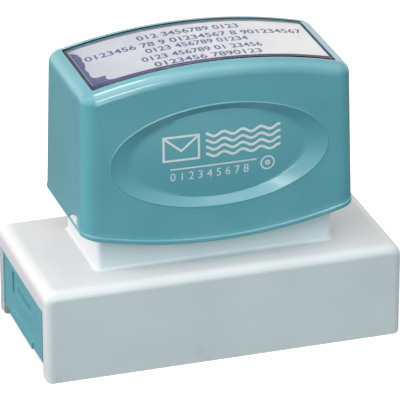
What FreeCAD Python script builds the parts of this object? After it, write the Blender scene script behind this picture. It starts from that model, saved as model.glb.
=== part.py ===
import FreeCAD, Part
import math
import os
from FreeCAD import Vector

# A pre-inked address stamp, in millimetres. The origin is the centre of the footprint on the
# paper: X runs along the stamp, Y from its front to its back, and Z points up.
# The pale skirt stands on the paper. The handle, the posts and the die slide down through it.

os.makedirs("parts", exist_ok=True)

# Skirt
skirt_length = 82.7
skirt_width = 39.6
skirt_height = 21.9
skirt_side_wall = 2.0
skirt_end_wall = 2.0
deck_thickness = 2.2
jamb_width = 3.1
opening_height = 16.8
jamb_step_width = 0.9
jamb_step_depth = 0.4
skirt_corner_round = 1.9
skirt_side_round = 2.3
skirt_end_round = 2.8
foot_round = 1.4
guide_rib_thickness = 1.2
guide_rib_pitch = 27.0
guide_ribs_per_side = 3

# Collar that rises from the deck into the handle
collar_length = 54.6
collar_width = 24.2
collar_rise = 20.0
collar_wall = 1.8
collar_corner_round = 1.3
collar_root_round = 0.8

# How far a cut runs past the face that it opens, how deep a joined piece reaches into its
# neighbour, and how far apart two heights may be and still count as level
past = 1.0
bite = 0.5
hair = 0.01

# Press travel, and how far the carrier stays clear of the paper and of the skirt
press_travel = 3.4
paper_gap = 0.3
guide_gap = 0.35
lintel_gap = 0.4
end_setback = 0.2

# Carrier
carrier_wall = 1.4
carrier_roof = 1.4
end_wall_thickness = 1.4

# Rocking end panels
panel_thickness = 1.5
panel_side_gap = 0.15
panel_edge_round = 0.4
pivot_height = 8.7
pivot_inset = 2.1
trunnion_radius = 0.8
trunnion_fit = 0.08
ear_radius = 1.1
ear_thickness = 1.6
ear_gap = 0.3
field_width = 16.4
field_height = 5.6
field_top_margin = 1.3
field_depth = 0.4
lip_width = 18.2
lip_height = 1.5
lip_proud = 0.4
catch_width = 6.0
catch_spacing = 14.0
catch_height = 0.8
catch_grip = 0.4
catch_gap = 0.1

# Die frame, die and ink pad
frame_thickness = 1.9
frame_overhang = 0.6
frame_side_gap = 0.25
frame_bore_gap = 0.2
flange_end_gap = 0.2
flange_side_gap = 0.65
flange_thickness = 1.1
end_ledge = 1.2
side_ledge = 2.5
pad_gap = 0.25

# Posts, filler tube and wick
post_spacing = 32.0
post_radius = 4.0
post_fit = 0.1
post_shoulder_radius = 6.0
spring_room = 24.1
filler_radius = 4.5
filler_bore_radius = 3.15
filler_rise = 18.1
filler_gap = 0.5
wick_gap = 0.15
plug_depth = 1.7
plug_gap = 0.1
plug_head = 1.4

# Crosshead that joins the two posts
crosshead_length = 46.0
crosshead_width = 17.0
crosshead_thickness = 4.5
crosshead_corner_round = 3.0
plug_access_radius = 5.2
peg_spacing = 17.0
peg_radius = 2.4
peg_rise = 6.5
screw_head_radius = 2.4
screw_head_height = 1.7
screw_shank_radius = 1.25
screw_shank_length = 9.0
screw_gap = 0.05
pilot_spare = 1.0
counterbore_gap = 0.4
counterbore_depth = 2.2
cross_slot_length = 2.6
cross_slot_width = 0.7
cross_slot_depth = 0.9

# Return springs
spring_wire = 0.9
spring_coil_radius = 5.3
spring_live_turns = 6
spring_end_turns = 1
spring_end_gap = 0.45

# Handle
handle_rim_height = 31.8
handle_crown_height = 68.5
handle_length = 62.7
handle_width = 31.6
handle_arch_radius = 113.0
handle_draft_degrees = 1.25
handle_corner_round = 3.3
handle_top_round = 2.8
handle_wall = 2.1
handle_inner_round = 1.2
handle_roof = 1.8
handle_rib_spacing = 40.0
handle_rib_thickness = 1.4
rim_bead_height = 1.1
rim_bead_proud = 0.25

# Oval recess on the front and the back of the handle
oval_length = 49.4
oval_height = 23.4
oval_floor_length = 40.5
oval_floor_height = 20.2
oval_depth = 1.2
oval_centre_height = 47.7
oval_bead_width = 0.35
oval_bead_proud = 0.12

# Latch between the handle and its core: one tab at each end
latch_front = 10.7
latch_width = 6.5
latch_height = 2.6
latch_bow = 0.55
latch_sill = 0.7
latch_gap = 0.12
latch_setback = 0.1

# Handle core
core_thickness = 2.0
core_gap = 0.2
core_arm_thickness = 0.95
core_arm_margin = 0.4
socket_wall = 1.6
socket_fit = 0.05
socket_end_gap = 0.5
socket_roof = 1.0

# Index window and the cards under it
window_length = 55.4
window_width = 23.9
window_corner_round = 0.4
window_thickness = 1.3
window_gap = 0.06
colour_card_thickness = 0.25
index_card_thickness = 0.2
index_card_margin = 0.7
card_gap = 0.05

# Heights and places that follow from the sizes above
deck_underside = skirt_height - deck_thickness
collar_top = skirt_height + collar_rise
carrier_bottom = press_travel + paper_gap
carrier_top = opening_height - lintel_gap
carrier_ceiling = carrier_top - carrier_roof
carrier_width = skirt_width - 2 * (jamb_width + guide_gap)
chamber_width = carrier_width - 2 * carrier_wall
panel_face_x = skirt_length / 2 - end_setback
panel_back_x = panel_face_x - panel_thickness
pivot_x = panel_face_x - pivot_inset
end_wall_outer_x = pivot_x - ear_radius - ear_gap
end_wall_inner_x = end_wall_outer_x - end_wall_thickness
frame_end_x = end_wall_outer_x + frame_overhang
flange_length = 2 * (end_wall_inner_x - flange_end_gap)
flange_width = chamber_width - 2 * flange_side_gap
die_length = flange_length - 2 * end_ledge
die_width = flange_width - 2 * side_ledge
frame_bottom = carrier_bottom + catch_height + catch_gap
frame_top = frame_bottom + frame_thickness
die_top = frame_top + flange_thickness
post_top = skirt_height + spring_room
filler_top = skirt_height + filler_rise
crosshead_top = post_top + crosshead_thickness
peg_top = crosshead_top + peg_rise
core_top = crosshead_top + core_thickness
socket_floor = peg_top + socket_end_gap
socket_top = socket_floor + socket_roof
latch_bottom = handle_rim_height + latch_sill
handle_slope = math.tan(math.radians(handle_draft_degrees))
pocket_depth = window_thickness + colour_card_thickness + index_card_thickness + 3 * card_gap

document = FreeCAD.newDocument("stamp")


def box(x_low, x_high, y_low, y_high, z_low, z_high):
    """A box between two corners."""
    size = (x_high - x_low, y_high - y_low, z_high - z_low)
    return Part.makeBox(*size, Vector(x_low, y_low, z_low))


def centred_box(length, width, z_low, z_high, x=0.0, y=0.0):
    """A box that is centred on x and y."""
    return box(x - length / 2, x + length / 2, y - width / 2, y + width / 2, z_low, z_high)


def upright_cylinder(radius, z_low, z_high, x=0.0, y=0.0):
    return Part.makeCylinder(radius, z_high - z_low, Vector(x, y, z_low))


def crosswise_cylinder(radius, y_low, y_high, x, z):
    """A cylinder whose axis runs along Y."""
    return Part.makeCylinder(radius, y_high - y_low, Vector(x, y_low, z), Vector(0, 1, 0))


def half_turn(shape):
    """The same shape, turned by half a turn about the stamp's upright axis."""
    turned = shape.copy()
    turned.rotate(Vector(0, 0, 0), Vector(0, 0, 1), 180)
    return turned


def one_solid(shape):
    """The single solid that a boolean left, without the seams between flush faces."""
    return shape.removeSplitter().Solids[0]


def rounded(solid, edge_radius):
    """The solid with each edge rounded by what edge_radius(middle, direction) gives, if anything."""
    radii = []
    for number, edge in enumerate(solid.Edges, start=1):
        halfway = (edge.FirstParameter + edge.LastParameter) / 2
        radius = edge_radius(edge.valueAt(halfway), edge.tangentAt(halfway))
        if radius:
            radii.append((number, radius, radius))
    base = document.addObject("Part::Feature", "base")
    base.Shape = solid
    fillet = document.addObject("Part::Fillet", "fillet")
    fillet.Base = base
    fillet.Edges = radii
    document.recompute()
    return fillet.Shape.Solids[0]


def is_upright(direction):
    return abs(direction.z) > 0.9


def runs_lengthwise(direction):
    return abs(direction.x) > 0.7


def rounded_block(length, width, corner, z_low, z_high, x=0.0):
    """A block whose upright edges are rounded."""
    block = centred_box(length, width, z_low, z_high, x)
    return rounded(block, lambda middle, direction: corner if is_upright(direction) else None)


# Skirt


def skirt_outside():
    """The outer block, with its foot corners rounded as seen from the front."""
    def edge_radius(middle, direction):
        if is_upright(direction):
            return skirt_corner_round
        if middle.z < skirt_height / 2:
            return None
        return skirt_side_round if runs_lengthwise(direction) else skirt_end_round

    def foot_radius(middle, direction):
        low = middle.z < skirt_height / 2
        return foot_round if low and abs(direction.y) > 0.9 else None

    block = rounded(centred_box(skirt_length, skirt_width, 0, skirt_height), edge_radius)
    wide_block = centred_box(skirt_length, skirt_width + 2 * past, 0, skirt_height + past)
    return block.common(rounded(wide_block, foot_radius))


def skirt_end_opening(sign):
    """The doorway in one end wall, with the shallow step along its two jambs."""
    half_door = skirt_width / 2 - jamb_width
    half_step = half_door + jamb_step_width
    outer = sign * (skirt_length / 2 + past)
    inner = sign * (skirt_length / 2 - skirt_end_wall - past)
    step = sign * (skirt_length / 2 - jamb_step_depth)
    door = box(min(outer, inner), max(outer, inner), -half_door, half_door, -past,
               opening_height)
    rebate = box(min(outer, step), max(outer, step), -half_step, half_step, -past,
                 opening_height)
    return door.fuse(rebate)


def skirt_guide_ribs():
    """Upright ribs inside the long walls, which keep the carrier in line."""
    ribs = []
    rib_inner = carrier_width / 2 + guide_gap
    rib_outer = skirt_width / 2 - skirt_side_wall + bite
    for number in range(guide_ribs_per_side):
        x = (number - (guide_ribs_per_side - 1) / 2) * guide_rib_pitch
        for side in (-1, 1):
            middle = side * (rib_inner + rib_outer) / 2
            depth = rib_outer - rib_inner
            ribs.append(centred_box(guide_rib_thickness, depth, foot_round,
                                    deck_underside + bite, x, middle))
    return ribs


def skirt_shell():
    """The skirt: an open box with a doorway at each end and a collar on its deck."""
    inner_length = skirt_length - 2 * skirt_end_wall
    inner_width = skirt_width - 2 * skirt_side_wall
    shell = skirt_outside()
    shell = shell.cut(centred_box(inner_length, inner_width, -past, deck_underside))
    for sign in (-1, 1):
        shell = shell.cut(skirt_end_opening(sign))
    shell = shell.fuse(skirt_guide_ribs())

    collar = rounded_block(collar_length, collar_width, collar_corner_round,
                           deck_underside, collar_top)
    shell = one_solid(shell.fuse(collar))

    def at_collar_root(middle, direction):
        near_x = abs(middle.x) < collar_length / 2 + hair
        near_y = abs(middle.y) < collar_width / 2 + hair
        level = abs(middle.z - skirt_height) < hair and not is_upright(direction)
        return collar_root_round if near_x and near_y and level else None

    shell = rounded(shell, at_collar_root)
    well = rounded_block(collar_length - 2 * collar_wall, collar_width - 2 * collar_wall,
                         collar_corner_round / 2, skirt_height, collar_top + past)
    shell = shell.cut(well)
    for x in (-post_spacing / 2, post_spacing / 2):
        shell = shell.cut(upright_cylinder(post_radius + post_fit, 0, skirt_height + past, x))
    shell = shell.cut(upright_cylinder(filler_radius + filler_gap, 0, skirt_height + past))
    return one_solid(shell)


# Carrier, and what it holds


def carrier():
    """The moving tray: two long walls, a roof, two end walls, two posts and the filler tube."""
    length = 2 * panel_face_x
    tray = centred_box(length, carrier_width, carrier_bottom, carrier_top)
    tray = tray.cut(centred_box(length + 2 * past, chamber_width, carrier_bottom - past,
                                carrier_ceiling))
    for sign in (-1, 1):
        middle = sign * (end_wall_outer_x + end_wall_inner_x) / 2
        tray = tray.fuse(centred_box(end_wall_thickness, chamber_width, frame_top + frame_bore_gap,
                                     carrier_ceiling, middle))
        x_low, x_high = sorted((sign * end_wall_outer_x, sign * (panel_face_x + past)))
        tray = tray.cut(box(x_low, x_high, -chamber_width / 2, chamber_width / 2,
                            carrier_ceiling - past, carrier_top + past))
        for side in (-1, 1):
            outer = side * carrier_width
            y_low, y_high = sorted((0.0, outer))
            tray = tray.cut(crosswise_cylinder(trunnion_radius + trunnion_fit, y_low, y_high,
                                               sign * pivot_x, pivot_height))
    for x in (-post_spacing / 2, post_spacing / 2):
        tray = tray.fuse(upright_cylinder(post_shoulder_radius, carrier_ceiling, deck_underside, x))
        tray = tray.fuse(upright_cylinder(post_radius, carrier_ceiling, post_top, x))
        pilot_bottom = post_top + counterbore_floor() - screw_shank_length - pilot_spare
        tray = tray.cut(upright_cylinder(screw_shank_radius + screw_gap, pilot_bottom,
                                         post_top + past, x))
    tray = tray.fuse(upright_cylinder(filler_radius, carrier_ceiling, filler_top))
    tray = tray.cut(upright_cylinder(filler_bore_radius, carrier_ceiling - past,
                                     filler_top + past))
    return one_solid(tray)


def counterbore_floor():
    """How far the screw heads' seats lie above the top of the posts."""
    return crosshead_thickness - counterbore_depth


def left_end_panel():
    """The panel in the left doorway, which rocks on two trunnions and holds the die frame."""
    width = chamber_width - 2 * panel_side_gap
    panel = box(-panel_face_x, -panel_back_x, -width / 2, width / 2, carrier_bottom, carrier_top)

    def outer_edges(middle, direction):
        outside = middle.x < -panel_face_x + hair
        return panel_edge_round if outside and middle.z > carrier_bottom + hair else None

    panel = rounded(panel, outer_edges)
    field_top = carrier_top - field_top_margin
    panel = panel.cut(centred_box(2 * field_depth, field_width, field_top - field_height,
                                  field_top, -panel_face_x))
    lip = box(-panel_face_x - lip_proud, -panel_back_x, -lip_width / 2, lip_width / 2,
              carrier_bottom, carrier_bottom + lip_height)
    panel = panel.fuse(lip)
    catch_tip = -(frame_end_x - catch_grip)
    for side in (-1, 1):
        catch = box(-panel_back_x - bite, catch_tip, -catch_width / 2, catch_width / 2,
                    carrier_bottom, carrier_bottom + catch_height)
        catch.translate(Vector(0, side * catch_spacing / 2, 0))
        ear_outer = side * width / 2
        ear_inner = side * (width / 2 - ear_thickness)
        y_low, y_high = sorted((ear_inner, ear_outer))
        ear = crosswise_cylinder(ear_radius, y_low, y_high, -pivot_x, pivot_height)
        web = box(-panel_back_x - bite, -pivot_x, y_low, y_high,
                  pivot_height - ear_radius, pivot_height + ear_radius)
        trunnion_end = side * (carrier_width / 2 - panel_side_gap)
        y_low, y_high = sorted((ear_inner, trunnion_end))
        trunnion = crosswise_cylinder(trunnion_radius, y_low, y_high, -pivot_x, pivot_height)
        panel = panel.fuse([catch, ear, web, trunnion])
    return one_solid(panel)


def right_end_panel():
    return half_turn(left_end_panel())


def die_frame():
    """The frame that holds the die up, and that the catches of the end panels carry."""
    width = chamber_width - 2 * frame_side_gap
    frame = centred_box(2 * frame_end_x, width, frame_bottom, frame_top)
    window = centred_box(die_length + 2 * frame_bore_gap, die_width + 2 * frame_bore_gap,
                         frame_bottom - past, frame_top + past)
    return frame.cut(window)


def stamp_die():
    """The rubber die: a printing block under a flange that rests in the frame."""
    block = centred_box(die_length, die_width, press_travel, die_top)
    flange = centred_box(flange_length, flange_width, frame_top, die_top)
    return one_solid(block.fuse(flange))


def ink_pad():
    """The felt that fills the chamber above the die."""
    length = 2 * (end_wall_inner_x - pad_gap)
    return centred_box(length, chamber_width - 2 * pad_gap, die_top, carrier_ceiling)


def ink_wick():
    """The felt rod that leads ink down the filler tube to the pad."""
    return upright_cylinder(filler_bore_radius - wick_gap, carrier_ceiling,
                            filler_top - plug_depth - wick_gap)


def filler_plug():
    """The rubber plug that closes the filler tube."""
    stem = upright_cylinder(filler_bore_radius - plug_gap, filler_top - plug_depth,
                            filler_top + plug_head)
    head = upright_cylinder(filler_radius, filler_top, filler_top + plug_head)
    return one_solid(stem.fuse(head))


def crosshead():
    """The plate on the two posts, which the springs push up and the handle's core sits on."""
    plate = rounded_block(crosshead_length, crosshead_width, crosshead_corner_round,
                          post_top, crosshead_top)
    for x in (-post_spacing / 2, post_spacing / 2):
        seat = post_top + counterbore_floor()
        plate = plate.cut(upright_cylinder(screw_head_radius + counterbore_gap, seat,
                                           crosshead_top + past, x))
        plate = plate.cut(upright_cylinder(screw_shank_radius + screw_gap, post_top - past,
                                           seat, x))
    plate = plate.cut(upright_cylinder(plug_access_radius, post_top - past,
                                       crosshead_top + past))
    for x in (-peg_spacing / 2, peg_spacing / 2):
        plate = plate.fuse(upright_cylinder(peg_radius, crosshead_top - bite, peg_top, x))
    return one_solid(plate)


def post_screw(x):
    """A pan-head screw with a cross slot, which holds the crosshead to a post."""
    seat = post_top + counterbore_floor()
    head_top = seat + screw_head_height
    head = upright_cylinder(screw_head_radius, seat, head_top, x)
    head = rounded(head, lambda m, d: screw_head_height / 2 if m.z > head_top - hair else None)
    for length, width in ((cross_slot_length, cross_slot_width),
                          (cross_slot_width, cross_slot_length)):
        head = head.cut(centred_box(length, width, head_top - cross_slot_depth,
                                    head_top + past, x))
    shank = upright_cylinder(screw_shank_radius, seat - screw_shank_length, seat, x)
    return one_solid(head.fuse(shank))


def left_post_screw():
    return post_screw(-post_spacing / 2)


def right_post_screw():
    return post_screw(post_spacing / 2)


# Return springs


def spring_points():
    """The wire's centre line: points and directions at every quarter turn, with flatter ends."""
    rise_low = skirt_height + spring_wire / 2
    rise_high = post_top - spring_wire / 2
    end_pitch = spring_wire + spring_end_gap
    live_rise = rise_high - rise_low - 2 * spring_end_turns * end_pitch
    live_pitch = live_rise / spring_live_turns
    heights = [rise_low]
    for pitch, turns in ((end_pitch, spring_end_turns), (live_pitch, spring_live_turns),
                         (end_pitch, spring_end_turns)):
        for _ in range(4 * turns):
            heights.append(heights[-1] + pitch / 4)
    last = len(heights) - 1
    points = []
    directions = []
    for number, height in enumerate(heights):
        angle = number * math.pi / 2
        below = heights[max(number - 1, 0)]
        above = heights[min(number + 1, last)]
        steps = min(number + 1, last) - max(number - 1, 0)
        rise = (above - below) / steps / (math.pi / 2)
        points.append(Vector(spring_coil_radius * math.cos(angle),
                             spring_coil_radius * math.sin(angle), height))
        directions.append(Vector(-spring_coil_radius * math.sin(angle),
                                 spring_coil_radius * math.cos(angle), rise).normalize())
    return points, directions


def arc_between(start, direction, end):
    """The arc that leaves start along direction and reaches end."""
    chord = end - start
    along = Vector(chord).normalize()
    aside = direction - along * direction.dot(along)
    turn = math.acos(max(-1.0, min(1.0, direction.dot(along))))
    middle = (start + end) * 0.5 + aside.normalize() * (chord.Length / 2 * math.tan(turn / 2))
    return Part.Arc(start, middle, end)


def two_arcs(start, start_direction, end, end_direction):
    """Two arcs that meet smoothly and join two points with the given directions."""
    across = end - start
    both = start_direction + end_direction
    curl = 2 * (1 - start_direction.dot(end_direction))
    pull = across.dot(both)
    reach = (-pull + math.sqrt(pull ** 2 + curl * across.dot(across))) / curl
    meeting = (start + end + start_direction * reach - end_direction * reach) * 0.5
    first = arc_between(start, start_direction, meeting)
    second = arc_between(end, end_direction * -1, meeting)
    return first, second


def coil_gap(arcs):
    """The least gap between the wire and itself, measured on points along its centre line."""
    samples = []
    for arc in arcs:
        span = arc.LastParameter - arc.FirstParameter
        samples += [arc.value(arc.FirstParameter + span * part / 6) for part in range(6)]
    turn = 6 * 2 * 4
    least = min(samples[i].distanceToPoint(samples[j])
                for i in range(len(samples)) for j in range(i + turn // 2, len(samples)))
    return least - spring_wire


def return_spring(x):
    """One coil around a post, a single unbroken wire with a flatter turn at each end."""
    points, directions = spring_points()
    arcs = []
    for number in range(len(points) - 1):
        arcs += two_arcs(points[number], directions[number],
                         points[number + 1], directions[number + 1])
    print("spring gap", round(coil_gap(arcs), 2))
    path = Part.Wire([arc.toShape() for arc in arcs])
    section = Part.Wire(Part.makeCircle(spring_wire / 2, points[0], directions[0]))
    coil = path.makePipeShell([section], True, False)
    coil.translate(Vector(x, 0, 0))
    return coil.Solids[0] if coil.Solids else Part.Solid(coil)


def left_spring():
    return return_spring(-post_spacing / 2)


def right_spring():
    return return_spring(post_spacing / 2)


# Handle


def arc_height(x, apex, radius):
    """Height at x of an arc whose apex is at x = 0; a negative radius bulges downwards."""
    sag = abs(radius) - math.sqrt(radius ** 2 - x ** 2)
    return apex - math.copysign(sag, radius)


def arched_slab(low_apex, low_radius, high_apex, high_radius):
    """A slab wider than the handle, between two arcs that are seen from the front."""
    half_length = handle_length / 2 + rim_bead_proud + past
    half_width = handle_width / 2 + rim_bead_proud + past
    corners = []
    arcs = []
    for apex, radius in ((low_apex, low_radius), (high_apex, high_radius)):
        end_height = arc_height(half_length, apex, radius)
        left = Vector(-half_length, -half_width, end_height)
        right = Vector(half_length, -half_width, end_height)
        arcs.append(Part.Arc(left, Vector(0, -half_width, apex), right).toShape())
        corners.append((left, right))
    sides = [Part.makeLine(corners[0][side], corners[1][side]) for side in (0, 1)]
    outline = Part.Wire(Part.__sortEdges__(arcs + sides))
    return Part.Face(outline).extrude(Vector(0, 2 * half_width, 0))


def drafted_block(inset_x, inset_y):
    """A tall block with the handle's draft, drawn in by the insets from its outer faces."""
    z_low = handle_rim_apex() - 3 * past
    z_high = handle_crown_height + past
    half = []
    for z in (z_low, z_high):
        taper = (z - handle_rim_height) * handle_slope
        half.append((handle_length / 2 - taper - inset_x, handle_width / 2 - taper - inset_y))
    (low_x, low_y), (high_x, high_y) = half
    block = Part.makeWedge(-low_x, z_low, -low_y, -high_y, -high_x,
                           low_x, z_high, low_y, high_y, high_x)
    block.rotate(Vector(0, 0, 0), Vector(1, 0, 0), 90)
    return block


def handle_rim_apex():
    """Lowest point of the handle's rim, which sags along the arch radius between its ends."""
    half_chord = handle_length / 2
    sag = handle_arch_radius - math.sqrt(handle_arch_radius ** 2 - half_chord ** 2)
    return handle_rim_height - sag


def handle_outside():
    """The outer form: drafted sides, an arched top and rim, and a bead along the rim."""
    apex = handle_rim_apex()
    slab = arched_slab(apex, -handle_arch_radius, handle_crown_height, handle_arch_radius)
    body = drafted_block(0, 0).common(slab).Solids[0]

    def edge_radius(middle, direction):
        if is_upright(direction):
            return handle_corner_round
        if middle.z > oval_centre_height:
            return handle_top_round
        return None

    body = rounded(body, edge_radius)
    band = drafted_block(0, -rim_bead_proud)
    band = rounded(band, lambda m, d: handle_corner_round if is_upright(d) else None)
    band = band.common(arched_slab(apex, -handle_arch_radius, apex + rim_bead_height,
                                   -handle_arch_radius))
    return body.fuse(band)


def handle_inside():
    """The space inside the handle, up to its arched ceiling."""
    ceiling_drop = pocket_depth + handle_roof
    space = drafted_block(handle_wall, handle_wall)
    space = rounded(space, lambda m, d: handle_inner_round if is_upright(d) else None)
    return space.common(arched_slab(handle_rim_apex() - past, -handle_arch_radius,
                                    handle_crown_height - ceiling_drop,
                                    handle_arch_radius - ceiling_drop))


def under_arch(depth):
    """Apex and radius of the arch that lies a given depth under the handle's top."""
    return handle_crown_height - depth, handle_arch_radius - depth


def arched_plate(length, width, corner, top_depth, bottom_depth):
    """A plate that follows the handle's arch, between two depths under its top."""
    plan = rounded_block(length, width, corner, handle_rim_height, handle_crown_height + past)
    return plan.common(arched_slab(*under_arch(bottom_depth), *under_arch(top_depth))).Solids[0]


def ellipse(length, height, y):
    """An upright ellipse that faces Y, centred on the origin."""
    curve = Part.Ellipse(Vector(0, y, 0), length / 2, height / 2)
    edge = curve.toShape()
    edge.rotate(Vector(0, y, 0), Vector(1, 0, 0), 90)
    return Part.Wire(edge)


def on_front_face(shape):
    """Moves what was made around the origin to the oval's centre on the drafted front face."""
    shape.rotate(Vector(0, 0, 0), Vector(1, 0, 0), -handle_draft_degrees)
    face_y = handle_width / 2 - (oval_centre_height - handle_rim_height) * handle_slope
    shape.translate(Vector(0, -face_y, oval_centre_height))
    return shape


def oval_recess():
    """What is cut away on the front: a shallow oval dish with a sloped wall."""
    sections = [ellipse(oval_length, oval_height, -past), ellipse(oval_length, oval_height, 0),
                ellipse(oval_floor_length, oval_floor_height, oval_depth)]
    return on_front_face(Part.makeLoft(sections, True, True))


def oval_bead():
    """The plate that leaves a fine raised line around the oval once the dish is cut in it."""
    outline = ellipse(oval_length + 2 * oval_bead_width, oval_height + 2 * oval_bead_width,
                      -oval_bead_proud)
    plate = Part.Face(outline).extrude(Vector(0, oval_bead_proud + bite, 0))
    return on_front_face(plate)


def latch_profile(x, thickness, gap):
    """The latch's quarter-round outline as a solid that runs along X, drawn in by a gap."""
    peak = Vector(x, -latch_front, latch_bottom + latch_height)
    heel = Vector(x, -latch_front + latch_width, latch_bottom)
    chord = heel - peak
    radius = (chord.Length ** 2 / 4 + latch_bow ** 2) / (2 * latch_bow)
    outward = Vector(0, latch_height, latch_width).normalize()
    centre = peak + chord * 0.5 - outward * (radius - latch_bow)
    disc = Part.makeCylinder(radius - gap, thickness, centre, Vector(1, 0, 0))
    corner = box(x, x + thickness, peak.y + gap, heel.y, heel.z + gap, peak.z)
    return disc.common(corner)


def handle_shell():
    """The handle: a hollow arched cap with an oval dish on each face and a pocket on top."""
    shell = handle_outside()
    shell = shell.cut(handle_inside())
    ribs = []
    for x in (-handle_rib_spacing / 2, handle_rib_spacing / 2):
        rib = centred_box(handle_rib_thickness, handle_width - handle_wall, core_top,
                          handle_crown_height - pocket_depth - handle_roof, x)
        ribs.append(rib.common(drafted_block(handle_wall / 2, handle_wall / 2)))
    shell = shell.fuse(ribs)
    pocket = arched_plate(window_length + 2 * window_gap, window_width + 2 * window_gap,
                          window_corner_round + window_gap, -past, pocket_depth)
    shell = shell.cut(pocket)
    bead = oval_bead()
    shell = shell.fuse([bead, half_turn(bead)])
    hole = latch_profile(-handle_length / 2 - past, handle_wall + 2 * past, 0)
    for cutter in (oval_recess(), hole):
        shell = shell.cut(cutter).cut(half_turn(cutter))
    return one_solid(shell)


def core_column(z_low, z_high):
    """An upright column that just clears the inside of the handle at the core's height."""
    drawn_in = (core_top - handle_rim_height) * handle_slope + handle_wall + core_gap
    return rounded_block(handle_length - 2 * drawn_in, handle_width - 2 * drawn_in,
                         handle_inner_round, z_low, z_high)


def core_arm():
    """The arm at the left end of the core, with the latch tab that shows in the handle."""
    column = core_column(latch_bottom, core_top)
    outer_x = column.BoundBox.XMin
    arm_back = -latch_front + latch_width + core_arm_margin
    arm = column.common(box(outer_x, outer_x + core_arm_thickness, -handle_width, arm_back,
                            latch_bottom, core_top))
    face_x = handle_length / 2 - (latch_bottom + latch_height - handle_rim_height) * handle_slope
    tab_start = -face_x + latch_setback
    tab = latch_profile(tab_start, outer_x + core_arm_thickness - tab_start, latch_gap)
    return arm.fuse(tab)


def handle_core():
    """The insert that the handle snaps over: a plate, two sockets and two latch arms."""
    plate = core_column(crosshead_top, core_top)
    arm = core_arm()
    core = plate.fuse([arm, half_turn(arm)])
    for x in (-peg_spacing / 2, peg_spacing / 2):
        bore = peg_radius + socket_fit
        core = core.fuse(upright_cylinder(bore + socket_wall, crosshead_top, socket_top, x))
        core = core.cut(upright_cylinder(bore, crosshead_top - past, socket_floor, x))
    return one_solid(core)


def index_window():
    """The clear cover over the index card, flush with the arch."""
    return arched_plate(window_length, window_width, window_corner_round, 0, window_thickness)


def index_card():
    """The printed card under the window."""
    top = window_thickness + card_gap
    return arched_plate(window_length - 2 * index_card_margin,
                        window_width - 2 * index_card_margin, window_corner_round,
                        top, top + index_card_thickness)


def colour_card():
    """The card in the ink's colour that lies under the index card."""
    top = window_thickness + index_card_thickness + 2 * card_gap
    return arched_plate(window_length, window_width, window_corner_round,
                        top, top + colour_card_thickness)


pieces = [skirt_shell, carrier, left_end_panel, right_end_panel, die_frame, stamp_die, ink_pad,
          ink_wick, filler_plug, crosshead, left_post_screw, right_post_screw, left_spring,
          right_spring, handle_shell, handle_core, index_window, index_card, colour_card]

for piece in pieces:
    shape = piece()
    print(piece.__name__, "valid" if shape.isValid() else "NOT VALID",
          len(shape.Solids), "solid", round(shape.Volume, 1), "mm3")
    shape.exportStep("parts/" + piece.__name__ + ".step")
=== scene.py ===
import math
import bmesh
import bpy
import numpy as np
from mathutils import Matrix, Vector


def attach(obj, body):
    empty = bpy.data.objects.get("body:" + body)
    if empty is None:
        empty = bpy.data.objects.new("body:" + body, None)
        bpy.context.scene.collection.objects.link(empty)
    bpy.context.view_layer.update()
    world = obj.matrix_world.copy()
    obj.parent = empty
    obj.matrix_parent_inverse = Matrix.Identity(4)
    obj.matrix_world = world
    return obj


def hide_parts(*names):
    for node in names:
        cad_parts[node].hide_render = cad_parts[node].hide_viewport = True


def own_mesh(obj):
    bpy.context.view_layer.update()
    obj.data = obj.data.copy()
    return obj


# A pre-inked address stamp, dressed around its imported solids. Lengths are worked out in
# millimetres and turned into metres where a mesh is made.

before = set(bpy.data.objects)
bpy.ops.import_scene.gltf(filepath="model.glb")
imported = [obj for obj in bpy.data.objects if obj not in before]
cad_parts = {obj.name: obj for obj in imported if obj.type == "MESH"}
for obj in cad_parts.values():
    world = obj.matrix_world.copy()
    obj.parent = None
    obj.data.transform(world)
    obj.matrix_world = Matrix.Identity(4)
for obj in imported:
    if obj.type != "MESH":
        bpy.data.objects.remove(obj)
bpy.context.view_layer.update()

MM = 0.001

# Handle, as in the solids
rim_height = 31.8
crown_height = 68.5
handle_length = 62.7
handle_width = 31.6
arch_radius = 113.0
draft = math.tan(math.radians(1.25))
corner_round = 3.3
top_round = 2.8
wall = 2.1
inner_round = 1.2
roof = 1.8
rib_spacing = 40.0
rib_thickness = 1.4
rib_bottom = 52.5
rib_top = 63.6
rib_half_width = 14.0
bead_height = 1.1
bead_proud = 0.25
rim_edge = 0.3

# Pocket for the window, and the cards in it
pocket_length = 55.52
pocket_width = 24.02
pocket_corner = 0.46
pocket_depth = 1.9
pocket_edge = 0.12
window_thickness = 1.3
window_gap = 0.06
plate_corner = 0.4
window_edge = 0.08
card_top = 1.35
card_thickness = 0.2
card_margin = 0.7
card_rounding = 0.02
colour_card_top = 1.6
colour_card_thickness = 0.25
print_lift = 0.02

# Oval dish on the front and the back
oval_length = 49.4
oval_height = 23.4
floor_length = 40.5
floor_height = 20.2
dish_depth = 1.2
dish_centre = 47.7
dish_swell = 0.55
dish_edge = 0.22
bead_line = 0.4
bead_line_proud = 0.12

# Latch opening at each end
latch_front = 10.7
latch_width = 6.5
latch_height = 2.6
latch_bow = 0.55
latch_bottom = 32.5

# Die, ink pad and wick
die_face = 3.4
die_relief = 0.4
digit_depth = 0.2
digit_sunk = 0.02
flange_bottom = 6.5
die_top = 7.6
die_size = (69.0, 23.6)
flange_size = (71.4, 28.6)
pad_top = 15.0
pad_size = (71.3, 29.4)
felt_sway = 0.06
wick_radius = 3.0
wick_top = 38.15

# Return springs around the posts
post_spacing = 32.0
spring_foot = 21.9
spring_top = 46.0
spring_wire_size = 0.9
spring_radius = 5.3
spring_turns = 8
spring_end_gap = 0.45
spring_steps = 28

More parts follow.
